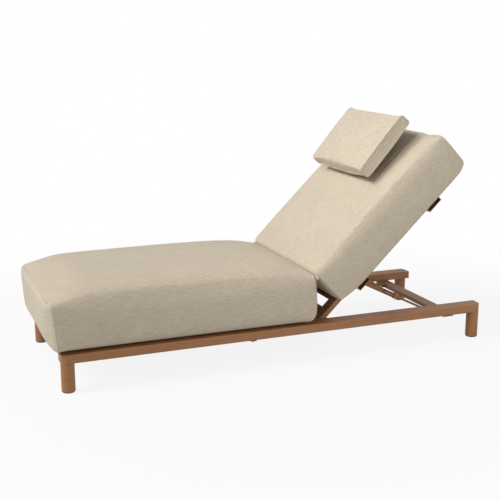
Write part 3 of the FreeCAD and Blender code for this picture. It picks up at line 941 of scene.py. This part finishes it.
def sheet_faces(lines, stations):
    """Faces of a sheet of two layers, each of some lines with some stations, closed at its rim."""
    def at(layer, line, station):
        return (layer * lines + line) * stations + station

    faces = []
    for i in range(lines - 1):
        for j in range(stations - 1):
            quad = [(i, j), (i + 1, j), (i + 1, j + 1), (i, j + 1)]
            faces.append([at(1, *corner) for corner in quad])
            faces.append([at(0, *corner) for corner in reversed(quad)])
    rim = [(i, 0) for i in range(lines)]
    rim += [(lines - 1, j) for j in range(1, stations)]
    rim += [(i, stations - 1) for i in range(lines - 2, -1, -1)]
    rim += [(0, j) for j in range(stations - 2, 0, -1)]
    for first, second in zip(rim, rim[1:] + rim[:1]):
        faces.append([at(0, *first), at(0, *second), at(1, *second), at(1, *first)])
    return faces


def strap_stops(low, high):
    """Where the strap's cover is looked for: places in the cushion and the ways out of it."""
    far = high.x - STRAP_TURN
    front = high.z - STRAP_FRONT_DROP - STRAP_TURN
    back = low.z + STRAP_TURN
    ahead = np.linspace(STRAP_START, far, STRAP_FRONT_ROWS, endpoint=False)
    over = np.linspace(90, 0, STRAP_TURN_ROWS, endpoint=False)
    down = np.linspace(front, back, STRAP_END_ROWS, endpoint=False)
    under = np.linspace(0, -90, STRAP_TURN_ROWS, endpoint=False)
    home = np.linspace(far, STRAP_FINISH, STRAP_BACK_ROWS)
    stops = [(along, front, 90) for along in ahead]
    stops += [(far, front, angle) for angle in over]
    stops += [(far, off, 0) for off in down]
    stops += [(far, back, angle) for angle in under]
    stops += [(along, back, -90) for along in home]
    return stops


def lay_strap(cover, stops, across):
    """The band's points on the cover below it, and the way out of the cover at each stop."""
    laid = np.zeros((len(stops), len(across), 3))
    ways = np.zeros((len(stops), 3))
    for row, (along, off, degrees) in enumerate(stops):
        angle = math.radians(degrees)
        way = Vector((math.cos(angle), 0, math.sin(angle)))
        ways[row] = way
        for column, y in enumerate(across):
            origin = Vector((along, y, off)) + STRAP_SEARCH * way
            laid[row, column], _, _, _ = cover.ray_cast(origin, -way)
    # The band bridges the small hollows in the cover below it.
    for _ in range(STRAP_BRIDGING):
        smooth = laid.copy()
        smooth[1:-1] = 0.25 * laid[:-2] + 0.5 * laid[1:-1] + 0.25 * laid[2:]
        rise = np.maximum(((smooth - laid) * ways[:, None]).sum(axis=2), 0)
        laid = laid + rise[..., None] * ways[:, None]
    return laid, ways


def make_strap(back):
    """A wide hemmed band of cloth laid over the end of the back cover, following it."""
    stops = strap_stops(*local_box("back_cushion", on_back))
    hem_lines = np.linspace(0, STRAP_HEM, STRAP_HEM_LINES, endpoint=False)
    inside = STRAP_HALF - STRAP_HEM
    across = np.concatenate((
        -STRAP_HALF + hem_lines,
        np.linspace(-inside, inside, STRAP_MIDDLE_LINES),
        STRAP_HALF - hem_lines[::-1],
    ))
    rows, columns = len(stops), len(across)
    laid, ways = lay_strap(search_tree(back.data), stops, across)
    edge = np.clip((STRAP_HALF - np.abs(across)) / STRAP_HEM, 0, 1)
    fold = np.clip(edge / STRAP_FOLD_SLOPE + STRAP_FOLD_START, 0, 1)
    hem = STRAP_HEM_RISE * np.clip((1 - edge) / STRAP_HEM_SLOPE, 0, 1) * fold
    inner = laid + STRAP_INNER * ways[:, None]
    outer = laid + (STRAP_OUTER + hem)[None, :, None] * ways[:, None]
    points = np.concatenate((inner.reshape(-1, 3), outer.reshape(-1, 3)))
    faces = sheet_faces(rows, columns)
    strap = new_piece("pillow_strap_band", points, faces, on_back, strap_cloth)
    runs = runs_along(laid[:, columns // 2])
    layer = strap.data.uv_layers.new(name="cloth")
    for loop in strap.data.loops:
        row, column = divmod(loop.vertex_index % (rows * columns), columns)
        layer.data[loop.index].uv = (runs[row], across[column])
    sewn = (STRAP_HEM_LINES - 1, columns - STRAP_HEM_LINES)
    hems = [(outer[:, column], ways) for column in sewn]
    hem_thread = sew_rows(
        "strap_hem_stitches", hems, HEM_STITCH, on_back, "back_cushion"
    )
    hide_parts("pillow_strap")
    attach(strap, "back_cushion")


def make_crease_strip():
    """The strip of cloth that joins the two covers along the crease, narrow at its free ends."""
    _, high = local_box("seat_cushion", Matrix.Identity(4))
    points = []
    for side in (-1, 1):
        for y in np.linspace(-CREASE_REACH, CREASE_REACH, CREASE_LINES):
            free = np.clip((abs(y) - CREASE_REACH + CREASE_TAB) / CREASE_TAB, 0, 1)
            arch = CREASE_ARCH * (1 - (y / CREASE_REACH) ** 2)
            top = CREASE_TOP + arch - CREASE_END_DROP * free ** 2
            narrow = min(1.0, CREASE_END_TAPER * free)
            low = CREASE_LOW + (top - CREASE_LOW - CREASE_END_HEIGHT) * narrow
            wave = CREASE_WAVE * math.sin(y * CREASE_WAVE_TURN) + CREASE_END_OFF * free
            x = high.x - CREASE_SET + wave + side * CREASE_HALF
            points += [(x, y, height) for height in np.linspace(low, top, CREASE_STATIONS)]
    faces = sheet_faces(CREASE_LINES, CREASE_STATIONS)
    strip = new_piece("crease_strip", points, faces, Matrix.Identity(4), cloth)
    layer = strip.data.uv_layers.new(name="cloth")
    for loop in strip.data.loops:
        _, y, z = points[loop.vertex_index]
        layer.data[loop.index].uv = (y, z)
    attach(strip, "frame")


def make_soft_goods():
    seat = make_cushion("seat_cover", SEAT, seed=1)
    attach(seat, "frame")
    sew_seams("seat_seam_stitches", seat, "frame")
    back = make_cushion("back_cover", BACK, seed=2)
    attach(back, "back_cushion")
    sew_seams("back_seam_stitches", back, "back_cushion")
    pillow = make_cushion("pillow_cover", PILLOW, seed=3)
    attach(pillow, "head_pillow")
    sew_seams("pillow_seam_stitches", pillow, "head_pillow")
    pouch = make_cushion("pouch_cover", POUCH, seed=4, slot="strap_fabric")
    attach(pouch, "counterweight")
    make_strap(back)
    make_crease_strip()


# The studio

def background_rays(tree):
    """1 for the rays that show the background: the camera's, and those through gloss and glass."""
    rays = add_node(tree, "ShaderNodeLightPath").outputs
    seen = math_node(tree, "MAXIMUM", rays["Is Camera Ray"], rays["Is Glossy Ray"])
    return math_node(tree, "MAXIMUM", seen, rays["Is Transmission Ray"])


def floor_material():
    """A pale floor that keeps the shadow by the object and is seen as white further out."""
    material, tree, shader = new_material("floor")
    set_inputs(shader, Base_Color=FLOOR, Roughness=0.9, Specular_IOR_Level=0.1)
    glow = set_inputs(add_node(tree, "ShaderNodeEmission"), Color=WHITE, Strength=1.0)
    length = add_node(tree, "ShaderNodeVectorMath", operation="LENGTH")
    tree.links.new(object_place(tree), length.inputs[0])
    white = add_node(tree, "ShaderNodeMapRange", interpolation_type="SMOOTHSTEP")
    near, far = FLOOR_SHADOW_REACH
    set_inputs(white, From_Min=near, From_Max=far, To_Min=FLOOR_WHITE, To_Max=1.0)
    tree.links.new(length.outputs["Value"], white.inputs["Value"])
    share = math_node(tree, "MULTIPLY", background_rays(tree), white.outputs["Result"])
    mix = add_node(tree, "ShaderNodeMixShader")
    tree.links.new(share, mix.inputs["Fac"])
    tree.links.new(shader.outputs["BSDF"], mix.inputs[1])
    tree.links.new(glow.outputs["Emission"], mix.inputs[2])
    tree.links.new(mix.outputs["Shader"], tree.nodes["Material Output"].inputs["Surface"])
    return material


def make_floor():
    mesh = bpy.data.meshes.new("floor")
    signs = ((-1, -1), (1, -1), (1, 1), (-1, 1))
    mesh.from_pydata([(FLOOR_HALF * x, FLOOR_HALF * y, 0) for x, y in signs], [], [(0, 1, 2, 3)])
    mesh.materials.append(floor_material())
    floor = bpy.data.objects.new("floor", mesh)
    bpy.context.scene.collection.objects.link(floor)


def add_light(name, place, target, size, power, spread=180):
    lamp = bpy.data.lights.new(name, "AREA")
    lamp.shape = "DISK"
    lamp.size = size
    lamp.energy = power
    lamp.spread = math.radians(spread)
    light = bpy.data.objects.new(name, lamp)
    bpy.context.scene.collection.objects.link(light)
    light.location = place
    aim = Vector(target) - Vector(place)
    light.rotation_euler = aim.to_track_quat("-Z", "Y").to_euler()


def make_world():
    world = bpy.data.worlds.new("studio")
    world.use_nodes = True
    bpy.context.scene.world = world
    tree = world.node_tree
    background = tree.nodes["Background"]
    set_inputs(background, Color=WHITE)
    seen = background_rays(tree)
    strength = ranged(tree, seen, least=WORLD_LIGHT, spread=1 - WORLD_LIGHT)
    tree.links.new(strength, background.inputs["Strength"])


def make_studio():
    make_floor()
    for name, lamp in LAMPS.items():
        add_light(name, **lamp)
    make_world()
    bpy.context.scene.view_settings.view_transform = "Standard"


def make_camera():
    data = bpy.data.cameras.new("camera")
    data.lens = CAMERA_LENS_MM
    data.sensor_width = CAMERA_SENSOR_MM
    camera = bpy.data.objects.new("camera", data)
    bpy.context.scene.collection.objects.link(camera)
    camera.location = CAMERA_PLACE
    camera.rotation_euler = (math.radians(90 - CAMERA_PITCH), 0, math.radians(-CAMERA_YAW))
    bpy.context.scene.camera = camera


make_camera()
make_soft_goods()
make_studio()
